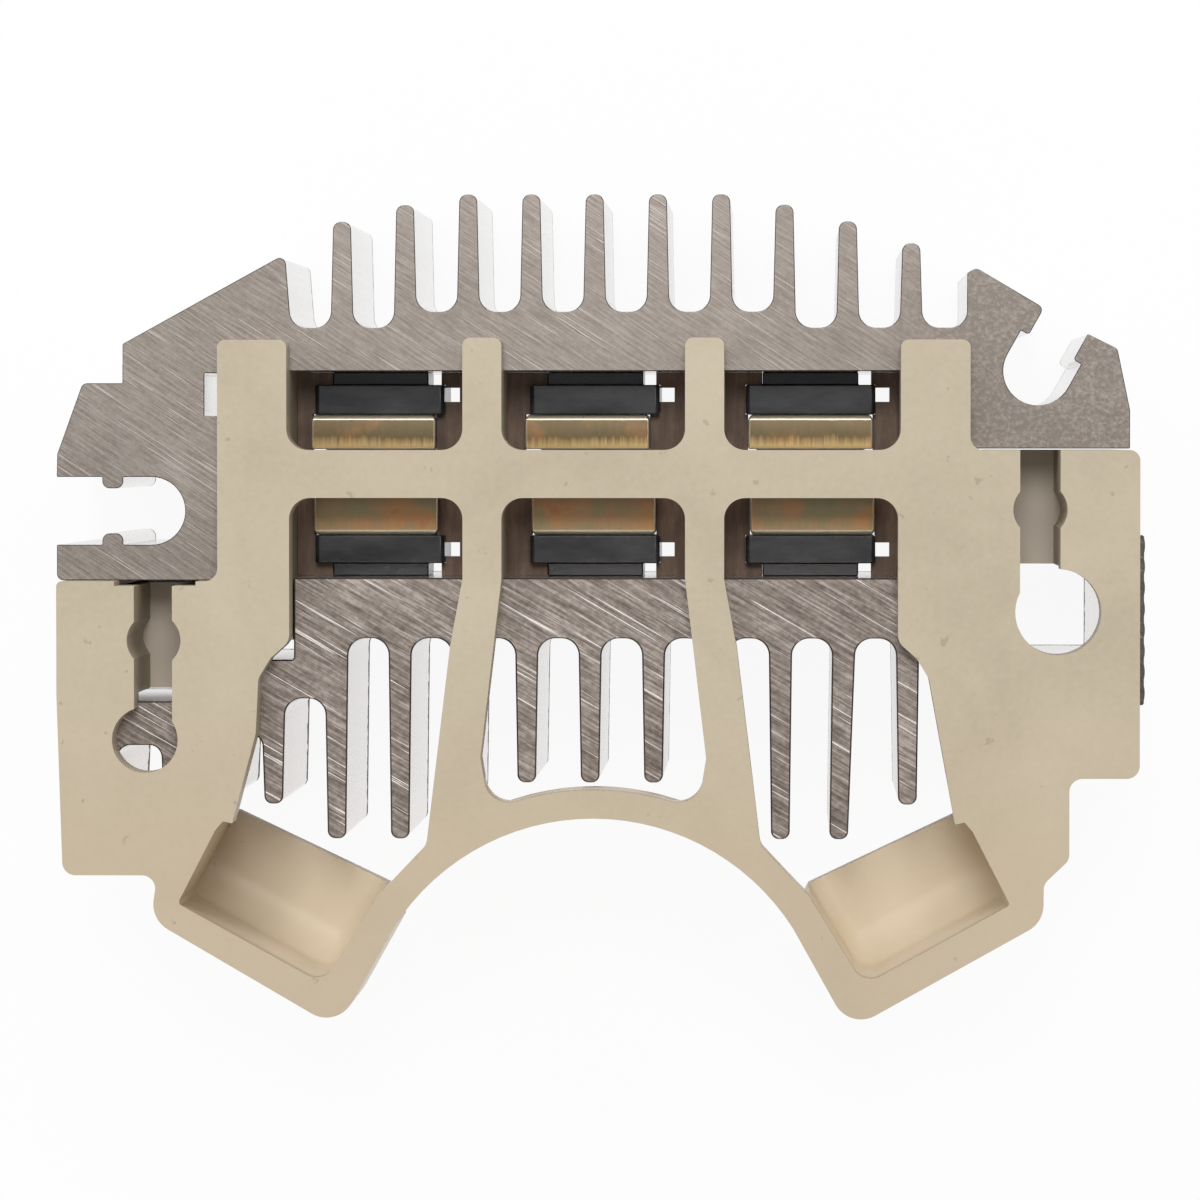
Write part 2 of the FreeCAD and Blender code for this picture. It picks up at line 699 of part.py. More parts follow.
def add_scoops(body):
    """The two three-walled scoops at the foot of the frame, with a coved floor."""
    level = "scoop_floor - scoop_floor_thick"
    walls = sketch_on(body, "scoop_blocks", level)
    foot = "sqrt(arch_radius ^ 2 - (arch_foot_y - shaft_down) ^ 2)"
    for side, name, hip in ((-1, "left", ("block_heel_x", "block_foot_y")),
                            (1, "right", ("block_hip_x", "block_hip_y"))):
        draw_outline(walls, [
            (mirrored(side, "pocket_lip + scoop_wall"), "pocket_lip_y"),
            (mirrored(side, "pocket_lip"), "pocket_lip_y"),
            (mirrored(side, "pocket_inner"), "pocket_inner_y"),
            (mirrored(side, foot), "arch_foot_y"),
            (mirrored(side, "scoop_toe"), "scoop_toe_y"),
            ("scoop_%s_x" % name, "scoop_%s_y" % name), hip,
        ])
    pad(body, walls, "sink_depth - scoop_floor + scoop_floor_thick")
    round_corners(body, "scoop_rounds", "scoop_round",
                  both_sides("scoop_toe", "scoop_toe_y")
                  + [("scoop_left_x", "scoop_left_y"), ("scoop_right_x", "scoop_right_y")])
    hollows = sketch_on(body, "scoop_hollows", "scoop_floor")
    for side in (-1, 1):
        beyond = [
            (mirrored(side, "pocket_inner"), "pocket_inner_y + through_run"),
            (mirrored(side, "pocket_lip"), "pocket_lip_y + through_run"),
        ]
        draw_outline(hollows, pocket_inside(side) + beyond)
    pocket(body, hollows, "sink_depth - scoop_floor")
    coves = []
    for number, edge in enumerate(body.Shape.Edges, start=1):
        if len(edge.Vertexes) != 2:
            continue
        a, b = (v.Point for v in edge.Vertexes)
        on_floor = abs(a.z - size("scoop_floor")) < 1e-3 and abs(b.z - a.z) < 1e-3
        middle = (a + b) / 2
        for side in (-1, 1):
            corner, toe = pocket_inside(side)[2:4]
            x = (size(corner[0]) + size(toe[0])) / 2
            y = (size(corner[1]) + size(toe[1])) / 2
            if on_floor and math.hypot(middle.x - x, middle.y - y) < 0.05:
                coves.append("Edge%d" % number)
    base = body.Tip
    cove = body.newObject("PartDesign::Fillet", "scoop_coves")
    cove.Base = (base, coves)
    cove.setExpression("Radius", bound("scoop_cove"))
    settle(cove)
    round_corners(body, "pocket_toe_rounds", "pocket_toe_round", both_sides("pocket_toe", "pocket_toe_y"))


def add_face_plate(body):
    """The moulding's face: four arms, the crossbar, two legs on the arch and the end blocks."""
    face = sketch_on(body, "face_outline", "sink_depth")
    foot = "sqrt(arch_radius ^ 2 - (arch_foot_y - shaft_down) ^ 2)"
    draw_outline(face, [
        ("block_left", "block_top"), ("block_left", "spacer_left_low"),
        ("block_foot_x", "block_foot_y"),
        ("block_heel_x", "block_foot_y"), ("scoop_left_x", "scoop_left_y"),
        (mirrored(-1, "scoop_toe"), "scoop_toe_y"),
        (mirrored(-1, foot), "arch_foot_y", "shaft_across", "shaft_down", 1),
        (mirrored(1, foot), "arch_foot_y"), (mirrored(1, "scoop_toe"), "scoop_toe_y"),
        ("scoop_right_x", "scoop_right_y"), ("block_hip_x", "block_hip_y"),
        ("block_knee_x", "block_knee_y"), ("block_knee_x", "block_shelf_y"),
        ("block_right", "block_shelf_y"), ("block_right", "bar_top"),
        (mirrored(-1, "arm_out"), "bar_top"), (mirrored(-1, "arm_out"), "block_top"),
    ])
    pad(body, face, "plate_thick")
    arms = sketch_on(body, "arm_outlines", "sink_depth")
    for inner, outer, top in (("arm_in", "arm_out", "arm_top"), ("rib_in", "rib_out", "rib_top")):
        for side in (-1, 1):
            draw_box(arms, mirrored(side, inner), mirrored(side, outer), "bar_low", top)
    pad(body, arms, "plate_thick")
    ends = [both_sides(u, top) for u, top in (("arm_in", "arm_top"), ("arm_out", "arm_top"),
                                              ("rib_in", "rib_top"), ("rib_out", "rib_top"))]
    round_corners(body, "arm_end_rounds", "arm_round", sum(ends, []))
    inner = [both_sides(u, "bar_top") for u in ("arm_in", "rib_out", "rib_in")]
    round_corners(body, "upper_window_rounds", "bar_round", sum(inner, []))
    round_corners(body, "block_rounds", "block_round", [
        ("block_right", "block_shelf_y"),
        (mirrored(-1, "arm_out"), "block_top"), (mirrored(1, "arm_out"), "bar_top"),
        ("block_heel_x", "block_foot_y"), ("block_knee_x", "block_shelf_y"),
        ("block_foot_x", "block_foot_y"), ("block_knee_x", "block_knee_y"),
        ("block_hip_x", "block_hip_y"),
    ])


def cut_windows(body):
    """Three openings of the face: the middle one ends on the arch, the outer two run on
    into the scoops."""
    windows = sketch_on(body, "face_windows", "sink_depth")
    for side, waist in ((-1, "window_waist_left"), (1, "window_waist_right")):
        draw_outline(windows, [
            (mirrored(side, "window_top"), "bar_low"), (mirrored(side, "window_top"), "window_neck_y"),
            (mirrored(side, "window_hip"), "window_hip_y"),
            (mirrored(side, "window_bend"), "window_bend_y"),
            (mirrored(side, waist), "window_waist_y"),
            (mirrored(side, "window_end"), "window_end_y"),
        ] + pocket_inside(side) + [
            (mirrored(side, "leg_foot"), "leg_foot_y"), (mirrored(side, "leg_knee"), "leg_knee_y"),
            (mirrored(side, "leg_out"), "leg_out_y"), (mirrored(side, "rib_out"), "neg_top"),
            (mirrored(side, "rib_out"), "bar_low"),
        ])
    ledge = "arch_radius + arch_thick"
    rise = "shaft_down + sqrt((%s) ^ 2 - mid_floor ^ 2)" % ledge
    draw_outline(windows, [
        (mirrored(-1, "rib_in"), "bar_low"), (mirrored(-1, "rib_in"), "neg_top"),
        (mirrored(-1, "leg_in"), "leg_in_y"), (mirrored(-1, "leg_in_low"), "leg_in_low_y"),
        (mirrored(-1, "mid_floor"), rise, "shaft_across", "shaft_down", 1),
        (mirrored(1, "mid_floor"), rise), (mirrored(1, "leg_in_low"), "leg_in_low_y"),
        (mirrored(1, "leg_in"), "leg_in_y"), (mirrored(1, "rib_in"), "neg_top"),
        (mirrored(1, "rib_in"), "bar_low"),
    ])
    pocket(body, windows, "plate_thick")
    tops = [both_sides(u, "bar_low") for u in ("window_top", "rib_out", "rib_in")]
    round_corners(body, "lower_window_rounds", "bar_round", sum(tops, []))
    round_corners(body, "middle_floor_rounds", "mid_round", both_sides("mid_floor", rise))
    round_corners(body, "leg_rounds", "leg_round",
                  both_sides("leg_knee", "leg_knee_y") + both_sides("window_top", "window_neck_y")
                  + both_sides("window_bend", "window_bend_y"))
    stiffener = sketch_on(body, "arch_stiffener", "sink_depth + plate_thick - arch_depth")
    span = ("sin(arch_half_angle * 1deg)", "cos(arch_half_angle * 1deg)")

    def on_ring(side, radius):
        return (mirrored(side, "(%s) * %s" % (radius, span[0])),
                "shaft_down + (%s) * %s" % (radius, span[1]))

    axis = ("shaft_across", "shaft_down")
    draw_outline(stiffener, [
        on_ring(-1, "arch_radius") + axis + (1,), on_ring(1, "arch_radius"),
        on_ring(1, ledge) + axis + (-1,), on_ring(-1, ledge),
    ])
    pad(body, stiffener, "arch_depth - plate_thick")


def cut_grooves(body):
    """The screw grooves in the end blocks, each with a ring and a keyhole through the face."""
    grooves = sketch_on(body, "screw_grooves", "groove_floor")
    top_run = "bar_top + through_run"
    draw_box(grooves, "groove_left_x", "groove_left_edge", "spacer_left_low - through_run",
             "block_top + through_run")
    draw_box(grooves, "groove_right_x", "groove_right_edge", "spacer_right_low - through_run", top_run)
    depth = "sink_depth + plate_thick - groove_floor"
    pocket(body, grooves, depth)
    rings = sketch_on(body, "groove_rings", "groove_floor")
    for name in ("left", "right"):
        draw_circle(rings, "groove_%s_ring_x" % name, "groove_%s_ring_y" % name, "groove_ring_radius")
    pocket(body, rings, depth)
    keyholes = sketch_on(body, "keyholes", "sink_depth")
    for name in ("left", "right"):
        spot = ("keyhole_%s_x" % name, "keyhole_%s_y" % name, "keyhole_%s_radius" % name)
        draw_circle(keyholes, *spot)
    pocket(body, keyholes, "plate_thick")
    slots = sketch_on(body, "keyhole_slots", "sink_depth")
    draw_box(slots, "groove_left_x", "groove_left_edge", "keyhole_left_y", "spacer_left_low")
    draw_box(slots, "groove_right_x", "groove_right_edge", "keyhole_right_y", "spacer_right_low")
    pocket(body, slots, "plate_thick")
    recess = sketch_on(body, "top_recess", "spacer_back")
    draw_box(recess, "recess_left_x", "recess_right_x", "block_top - recess_deep",
             "block_top + through_run")
    pocket(body, recess, "sink_depth + plate_thick - spacer_back")


def make_terminal_frame():
    """The one-piece moulding that carries everything and keeps the two heat sinks apart."""
    body = new_body("terminal_frame")
    add_face_plate(body)
    cut_windows(body)
    add_spacers(body)
    add_scoops(body)
    cut_grooves(body)
    return body


PLACE_NAMES = ((-1, "left"), (0, "centre"), (1, "right"))


def diode_middle(place):
    return "shaft_across + diode_shift + %d * diode_pitch" % place


def make_terminal_board():
    """Board behind the windows, cut out round the diodes, held by the stakes of the ribs."""
    body = new_body("terminal_board")
    level = "board_front - board_thick"
    plate = sketch_on(body, "board_outline", level)
    draw_box(plate, mirrored(-1, "arm_in - board_clear"), mirrored(1, "arm_in - board_clear"),
             "neg_top + board_clear", "pos_under - board_clear")
    pad(body, plate, "board_thick")
    for place, name in PLACE_NAMES:
        middle = diode_middle(place)
        cuts = sketch_on(body, "diode_cutouts_" + name, level)
        case_left = "%s - case_side / 2 - board_clear" % middle
        case_right = "%s + case_side / 2 + board_clear" % middle
        neck_left = "%s - neck_side / 2 - board_clear" % middle
        neck_right = "%s + neck_side / 2 + board_neck_gap" % middle
        hole = case_right + " + board_hole"
        for sign, seat, pole, start in (("-", "pos_under", "pos", "board_hole_high"),
                                        ("+", "neg_top", "neg", "board_hole_low")):
            across = "%s + %s_slab_shift_%s" % (middle, pole, name)
            slab_left = "%s - slab_side / 2 - board_clear" % across
            slab_right = "%s + slab_side / 2 + board_clear" % across
            shoulder = "%s %s (neck_height - board_clear)" % (seat, sign)
            case_end = "%s %s (neck_height + %s_case_height)" % (seat, sign, pole)
            bridge = "%s %s (%s_slab_height + strap_thick + board_clear)" % (case_end, sign, pole)
            end = "%s %s board_hole" % (start, sign)
            draw_outline(cuts, [
                (neck_left, seat), (neck_left, shoulder), (case_left, shoulder),
                (case_left, case_end), (slab_left, case_end), (slab_left, bridge),
                (slab_right, bridge), (slab_right, case_end), (case_right, case_end),
                (case_right, end), (hole, end), (hole, start), (case_right, start),
                (case_right, shoulder), (neck_right, shoulder), (neck_right, seat),
            ])
        pocket(body, cuts, "board_thick")
    holes = sketch_on(body, "stake_holes", level)
    for across, along in stake_spots():
        draw_circle(holes, across, along, "stake_radius + stake_clear")
    pocket(body, holes, "board_thick")
    return body


def square_layer(body, name, across, side, start, height, facing):
    """A square block about the diode's axis, from a start height, facing up or down."""
    sketch = sketch_on(body, name, "-(%s)" % start, "XZ_Plane")
    draw_box(sketch, "%s - (%s) / 2" % (across, side), "%s + (%s) / 2" % (across, side),
             "diode_middle_z - (%s) / 2" % side, "diode_middle_z + (%s) / 2" % side)
    return sketch, height, facing > 0


def make_diode(pole, name, place):
    """One pressed diode: a slug soldered to the heat sink, the die on it, the terminal slab
    whose stub meets the die, and the moulded case with its waisted neck."""
    facing = -1 if pole == "pos" else 1
    sign = "-" if facing < 0 else "+"
    seat = "pos_under" if facing < 0 else "neg_top"
    middle = diode_middle(place)
    label = "%s_diode_%s" % ("positive" if pole == "pos" else "negative", name)
    case_end = "%s %s (neck_height + %s_case_height)" % (seat, sign, pole)
    die_start = "%s %s slug_height" % (seat, sign)
    die_end = "%s %s (slug_height + die_height)" % (seat, sign)
    stub = "neck_height + %s_case_height - slug_height - die_height" % pole
    across = "%s + %s_slab_shift_%s" % (middle, pole, name)

    slug = new_body(label + "_base")
    pad(slug, *square_layer(slug, slug.Name + "_slug", middle, "slug_side", seat, "slug_height", facing))
    die = new_body(label + "_die")
    pad(die, *square_layer(die, die.Name + "_die", middle, "die_side", die_start, "die_height", facing))

    case = new_body(label + "_case")
    block = "%s %s neck_height" % (seat, sign)
    pad(case, *square_layer(case, case.Name + "_block", middle, "case_side", block,
                            pole + "_case_height", facing))
    pad(case, *square_layer(case, case.Name + "_neck", middle, "neck_side", seat, "neck_height", facing))
    pocket(case, *square_layer(case, case.Name + "_slug_seat", middle, "slug_side", seat,
                               "slug_height", facing))
    pocket(case, *square_layer(case, case.Name + "_die_seat", middle, "die_side", die_start,
                               "die_height", facing))
    pocket(case, *square_layer(case, case.Name + "_stub_seat", middle, "stub_side", die_end,
                               stub, facing))
    half = "case_side / 2"
    round_corners(case, case.Name + "_rounds", "case_corner", [
        (middle + sx + half, "diode_middle_z" + sz + half) for sx in (" - ", " + ")
        for sz in (" - ", " + ")], axis=1)

    slab = new_body(label + "_terminal")
    pad(slab, *square_layer(slab, slab.Name + "_slab", across, "slab_side", case_end,
                            pole + "_slab_height", facing))
    front = size(case_end)
    rim = [
        "Edge%d" % n for n, e in enumerate(slab.Shape.Edges, start=1)
        if all(abs(v.Point.y - front) < 1e-3 for v in e.Vertexes)
    ]
    base = slab.Tip
    bevel = slab.newObject("PartDesign::Chamfer", slab.Name + "_bevel")
    bevel.Base = (base, rim)
    bevel.setExpression("Size", bound("slab_bevel"))
    settle(bevel)
    pad(slab, *square_layer(slab, slab.Name + "_stub", middle, "stub_side", die_end,
                            stub, facing))
    return [slug, die, case, slab]


def make_strap(name, place):
    """Phase strap: a U of copper between two facing slabs, with a lug for the stator lead."""
    body = new_body("phase_strap_" + name)
    middle = diode_middle(place)
    top = "pos_under - neck_height - pos_case_height - pos_slab_height"
    low = "neg_top + neck_height + neg_case_height + neg_slab_height"
    back = "diode_middle_z - slab_side / 2 + strap_inset"
    front = "diode_middle_z + slab_side / 2 - strap_inset"
    profile = sketch_on(body, body.Name + "_bend", "%s - strap_width / 2" % middle, "YZ_Plane")
    draw_outline(profile, [
        (low, back), (top, back), (top, front), (top + " - strap_thick", front),
        (top + " - strap_thick", back + " + strap_thick"),
        (low + " + strap_thick", back + " + strap_thick"), (low + " + strap_thick", front),
        (low, front),
    ])
    pad(body, profile, "strap_width")
    lug = sketch_on(body, body.Name + "_lug", "lug_back")
    centre = "(%s + %s) / 2" % (top, low)
    draw_box(lug, middle + " - lug_width / 2", middle + " + lug_width / 2",
             centre + " - strap_thick / 2", centre + " + strap_thick / 2")
    pad(body, lug, back + " - lug_back")
    hole = sketch_on(body, body.Name + "_hole", "-(%s + strap_thick)" % centre, "XZ_Plane")
    draw_circle(hole, middle, "lug_hole_z", "lug_hole_radius")
    pocket(body, hole, "strap_thick * 2")
    return body


PARTS = [make_terminal_frame(), make_positive_sink(), make_negative_sink(), make_terminal_board()]
for place, name in PLACE_NAMES:
    PARTS += make_diode("pos", name, place)
    PARTS += make_diode("neg", name, place)
    PARTS.append(make_strap(name, place))

doc.recompute()
for thing in doc.Objects:
    if "Invalid" in thing.State or "Error" in thing.State:
        raise RuntimeError(thing.Name + " failed")
os.makedirs("parts", exist_ok=True)
for part in PARTS:
    shape = part.Shape
    if shape.isNull() or not shape.isValid():
        raise RuntimeError(part.Label + " has no valid shape")
    shape.exportStep("parts/%s.step" % part.Label)
    print(part.Label, len(shape.Solids), round(shape.Volume, 2))
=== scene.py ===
import math

import bpy
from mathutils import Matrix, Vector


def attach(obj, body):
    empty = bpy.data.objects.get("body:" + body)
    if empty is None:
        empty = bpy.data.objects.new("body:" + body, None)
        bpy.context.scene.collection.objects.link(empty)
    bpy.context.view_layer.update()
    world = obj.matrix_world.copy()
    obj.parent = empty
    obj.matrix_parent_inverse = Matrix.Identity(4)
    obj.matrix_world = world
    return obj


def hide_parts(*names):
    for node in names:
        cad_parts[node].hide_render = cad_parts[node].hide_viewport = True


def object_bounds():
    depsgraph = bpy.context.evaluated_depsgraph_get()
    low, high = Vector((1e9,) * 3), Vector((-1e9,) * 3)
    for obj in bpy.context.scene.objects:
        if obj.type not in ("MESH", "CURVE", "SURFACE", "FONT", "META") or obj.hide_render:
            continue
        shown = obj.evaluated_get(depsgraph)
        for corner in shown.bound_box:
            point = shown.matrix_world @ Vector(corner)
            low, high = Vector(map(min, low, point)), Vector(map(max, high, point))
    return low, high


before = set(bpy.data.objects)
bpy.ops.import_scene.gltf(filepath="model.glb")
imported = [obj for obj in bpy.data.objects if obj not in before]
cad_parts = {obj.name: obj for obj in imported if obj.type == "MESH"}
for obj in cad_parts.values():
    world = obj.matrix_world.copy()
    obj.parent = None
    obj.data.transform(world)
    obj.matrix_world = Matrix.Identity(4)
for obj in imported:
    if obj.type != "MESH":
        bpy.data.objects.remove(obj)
cad_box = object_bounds()


# Upper heat sink: an aluminium extrusion with ten fins, sawn to length. The saw leaves slanting
# scratches on both ends, and the die leaves fine lines along the fins. The positive diodes are
# soldered along its flat side.

class Number:
    """A number that varies over a surface, so that shader maths reads as plain Python."""

    def __init__(self, finish, socket):
        self.finish = finish
        self.socket = socket

    def math(self, operation, first, second):
        node = self.finish.node("ShaderNodeMath", {"operation": operation}, {0: first, 1: second})
        return node["Value"]

    def __add__(self, other):
        return self.math("ADD", self, other)

    def __radd__(self, other):
        return self.math("ADD", other, self)

    def __sub__(self, other):
        return self.math("SUBTRACT", self, other)

    def __rsub__(self, other):
        return self.math("SUBTRACT", other, self)

    def __mul__(self, other):
        return self.math("MULTIPLY", self, other)

    def __rmul__(self, other):
        return self.math("MULTIPLY", other, self)

    def __gt__(self, other):
        return self.math("GREATER_THAN", self, other)

    def __lt__(self, other):
        return self.math("LESS_THAN", self, other)

    def __abs__(self):
        return self.math("ABSOLUTE", self, 0)


class Placed:
    """A node in a finish, whose outputs are read by name or place."""

    def __init__(self, finish, node):
        self.finish = finish
        self.node = node

    def __getitem__(self, output):
        return Number(self.finish, self.node.outputs[output])


class Finish:
    """A material with one principled shader, whose steady values are set on its own sockets."""

    def __init__(self, name, **steady):
        self.material = bpy.data.materials.new(name)
        self.material.use_nodes = True
        self.tree = self.material.node_tree
        self.shader = self.tree.nodes["Principled BSDF"]
        for socket, value in steady.items():
            self.shader.inputs[socket.replace("_", " ")].default_value = value
        self.place = self.node("ShaderNodeTexCoord")["Object"]
        self.normal = self.node("ShaderNodeNewGeometry")["Normal"]

    def node(self, kind, settings=None, sockets=None):
        made = self.tree.nodes.new(kind)
        for name, value in (settings or {}).items():
            if name == "stops":
                self.set_stops(made.color_ramp, value)
            else:
                setattr(made, name, value)
        for key, value in (sockets or {}).items():
            if isinstance(value, Number):
                self.tree.links.new(value.socket, made.inputs[key])
            else:
                made.inputs[key].default_value = value
        return Placed(self, made)

    def set_stops(self, ramp, stops):
        while len(ramp.elements) < len(stops):
            ramp.elements.new(0.5)
        for element, (position, colour) in zip(ramp.elements, stops):
            element.position = position
            element.color = (*colour, 1)

    def ramp(self, number, stops):
        return self.node("ShaderNodeValToRGB", {"stops": stops}, {"Fac": number})["Color"]

    def grey_ramp(self, number, low, high):
        """0 below low, 1 above high."""
        return self.node("ShaderNodeMapRange", {"clamp": True},
                         {"Value": number, "From Min": low, "From Max": high})["Result"]

    def mix(self, share, first, second):
        """The first colour, with a share of the second. A colour mix has them at sockets 6 and
        7, and its result at 2."""
        return self.node("ShaderNodeMix", {"data_type": "RGBA"},
                         {0: share, 6: first, 7: second})[2]

    def parts(self, vector):
        """The parts of a vector, read by "X", "Y" and "Z"."""
        return self.node("ShaderNodeSeparateXYZ", None, {0: vector})

    def stretched(self, scale, turn=(0, 0, 0)):
        """The place on the object, for a pattern drawn out so many times along each axis and
        then turned."""
        return self.node("ShaderNodeMapping", {"vector_type": "TEXTURE"},
                         {"Vector": self.place, "Rotation": turn, "Scale": scale})["Vector"]

    def noise(self, where, scale, detail, roughness, distortion=0.0):
        return self.node("ShaderNodeTexNoise", None,
                         {"Vector": where, "Scale": scale, "Detail": detail,
                          "Roughness": roughness, "Distortion": distortion})["Fac"]

    def bump(self, height, distance, strength):
        return self.node("ShaderNodeBump", None, {
            "Height": height, "Distance": distance, "Strength": strength})["Normal"]

    def set(self, **varying):
        for socket, value in varying.items():
            self.tree.links.new(value.socket, self.shader.inputs[socket.replace("_", " ")])


def dress(node, finish):
    """Give a CAD node its finish."""
    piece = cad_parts[node]
    for slot in piece.material_slots:
        slot.material = finish.material


DOUBLES_WITHIN = 0.000001
FLAT_WITHIN = math.radians(1.5)
SHARP_PAST = math.radians(32)
SMOOTH_WITHIN = math.radians(34)


def soften(node, width, steps, finish, trim=None):
    """A copy of a CAD node takes its place, trimmed where asked, with its sharp edges rounded
    off to a width in so many steps."""
    bpy.ops.object.select_all(action="DESELECT")
    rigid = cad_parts[node]
    rigid.select_set(True)
    bpy.context.view_layer.objects.active = rigid
    bpy.ops.object.duplicate()
    piece = bpy.context.active_object
    piece.name = node + "_finished"
    piece.data.materials.clear()
    piece.data.materials.append(finish.material)
    bpy.ops.object.mode_set(mode="EDIT")
    bpy.ops.mesh.select_all(action="SELECT")
    bpy.ops.mesh.remove_doubles(threshold=DOUBLES_WITHIN)
    bpy.ops.mesh.dissolve_limited(angle_limit=FLAT_WITHIN)
    bpy.ops.object.mode_set(mode="OBJECT")
    if trim:
        trim(piece)
    round_off = piece.modifiers.new("edges", "BEVEL")
    round_off.width = width
    round_off.segments = steps
    round_off.limit_method = "ANGLE"
    round_off.angle_limit = SHARP_PAST
    round_off.miter_outer = "MITER_ARC"
    bpy.ops.object.modifier_apply(modifier="edges")
    bpy.ops.object.shade_smooth_by_angle(angle=SMOOTH_WITHIN)
    flat_faces = piece.modifiers.new("flat_faces", "WEIGHTED_NORMAL")
    flat_faces.keep_sharp = True
    flat_faces.weight = 100
    bpy.ops.object.modifier_apply(modifier="flat_faces")
    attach(piece, "root")
    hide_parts(node)


CORNER_STEPS = 4
CORNER_SLACK = 0.00005


def round_upright_edges(piece, corners):
    """Round the piece's upright edges at each (across, along) spot to its own radius."""
    for (across, along), radius in corners:
        bpy.ops.object.mode_set(mode="EDIT")
        bpy.ops.mesh.select_mode(type="EDGE")
        bpy.ops.mesh.select_all(action="DESELECT")
        bpy.ops.object.mode_set(mode="OBJECT")
        points = piece.data.vertices
        for edge in piece.data.edges:
            ends = [points[end].co for end in edge.vertices]
            edge.select = all(
                math.hypot(end.x - across, end.y - along) < CORNER_SLACK for end in ends)
        bpy.ops.object.mode_set(mode="EDIT")
        bpy.ops.mesh.bevel(offset=radius, segments=CORNER_STEPS, affect="EDGES")
        bpy.ops.object.mode_set(mode="OBJECT")


HOOK_CORNERS = (((0.03372, 0.0227), 0.00045), ((0.03257, 0.02065), 0.00025),
                ((0.03594, 0.01876), 0.00025))


def round_hook(sink):
    """Round the mouth of the hooked slot."""
    round_upright_edges(sink, HOOK_CORNERS)


END_FACING = 0.9
BEVEL_FACING = 0.4
RIDGES_FROM = 0.0407
RUB_FADE = 0.005
BACK_FADE = 0.0001
WALL_PITS = (0.46, 0.43, 0.415, 1)
BACK_EDGE_DARK = (0.07, 0.06, 0.052, 1)
RIDGE_BURR_AND_SHADE = (0.075, 0.062, 0.054, 1)
END_BEVEL_SHADE = (0.11, 0.095, 0.085, 1)


def sawn_aluminium(name, stops, gouge, slant, pitch, depth, side, dull, edge, rubbed=1.0):
    """Aluminium with sawn ends. Their scratches slant by some degrees, a pitch apart, with a few
    gouges among them and painted shade on the bevel round them, and past a place across they are
    rubbed plain. The sides are bright from the die, with a ragged dark band along their back edge."""
    finish = Finish(name)
    place = finish.parts(finish.place)
    facing = abs(finish.parts(finish.normal)["Z"])
    sawn = facing > END_FACING
    # Painted shade: the bevel round the sawn ends is coloured dark, as a thin shaded outline.
    shaded_bevel = (facing > BEVEL_FACING) - sawn
    turn = (0, 0, math.radians(slant))
    fine = finish.noise(finish.stretched((14, 1, 1), turn), 1 / pitch, 3, 0.6)
    grain = finish.noise(finish.place, 0.7 / pitch, 2, 0.6)
    cloud = finish.noise(finish.place, 75, 4, 0.6)
    scratches = fine * 0.55 + grain * 0.2 + cloud * 0.25
    long = finish.noise(finish.stretched((45, 1, 1), turn), 1 / pitch, 2, 0.5)
    rub = finish.grey_ramp(place["X"], rubbed, rubbed + RUB_FADE)
    gouges = finish.grey_ramp(long + (cloud - 0.5) * 0.3, 0.62, 0.70) * (1 - rub)
    scratches = scratches * (1 - rub * 0.7) + (grain * 0.8 + cloud * 0.2 - 0.08) * rub * 0.7
    drawn = finish.noise(finish.stretched((1, 1, 60)), 900, 3, 0.6)
    pits = finish.grey_ramp(finish.noise(finish.place, 2600, 2, 0.6), 0.46, 0.70)
    walls = finish.mix(drawn * 0.5 + pits * 0.18, (*side, 1), WALL_PITS)
    # The sides darken in a ragged band along their back edge, and turn duller and rougher there.
    ragged = edge * finish.noise(finish.stretched((1, 1, 3)), 1400, 3, 0.6)
    back_edge = finish.grey_ramp(place["Z"], ragged + BACK_FADE, ragged)
    coat = finish.mix(back_edge * 0.85, walls, BACK_EDGE_DARK)
    cut = finish.mix(gouges * 0.6, finish.ramp(scratches, stops), (*gouge, 1))
    # Near the ridged arm the sawn ends are darkened, partly as a dark burr and partly as painted
    # shade under the frame's overhang.
    cut = finish.mix((place["X"] > RIDGES_FROM) * 0.75, cut, RIDGE_BURR_AND_SHADE)
    coat = finish.mix(sawn, coat, cut)
    finish.set(
        Base_Color=finish.mix(shaded_bevel, coat, END_BEVEL_SHADE),
        Metallic=0.85 - (1 - sawn) * (dull + pits * 0.12 + back_edge * 0.3),
        Roughness=0.14 + sawn * (0.14 + scratches * 0.3) + shaded_bevel * 0.3 + back_edge * 0.5,
        Normal=finish.bump((scratches + gouges * 0.5) * sawn + drawn * 0.05, depth, 0.6),
    )
    return finish


SINK_EDGE = 0.00012
upper_sawn = sawn_aluminium(
    "upper_sawn_aluminium",
    [(0.38, (0.20, 0.173, 0.151)), (0.5, (0.275, 0.24, 0.212)), (0.61, (0.35, 0.312, 0.281))],
    gouge=(0.47, 0.43, 0.395), slant=-33, pitch=0.0002, depth=0.00002,
    side=(0.84, 0.82, 0.805), dull=0, edge=0.0009, rubbed=0.022)
soften("positive_heat_sink", SINK_EDGE, 1, upper_sawn, round_hook)


# Lower heat sink: the same alloy from a coarser saw, so its scratches are deeper and its sides
# duller. It carries the three negative diodes, and its notched arm on the right has a ridged
# side that is worn nearly flat.

lower_sawn = sawn_aluminium(
    "lower_sawn_aluminium",
    [(0.38, (0.135, 0.11, 0.094)), (0.5, (0.26, 0.22, 0.192)), (0.6, (0.43, 0.377, 0.34))],
    gouge=(0.97, 0.92, 0.88), slant=-30, pitch=0.00026, depth=0.00004,
    side=(0.74, 0.65, 0.595), dull=0.25, edge=0.003)
RIDGE_CREST = 0.04142
RIDGE_FOOT = 0.0411
RIDGE_SHARE = 0.3


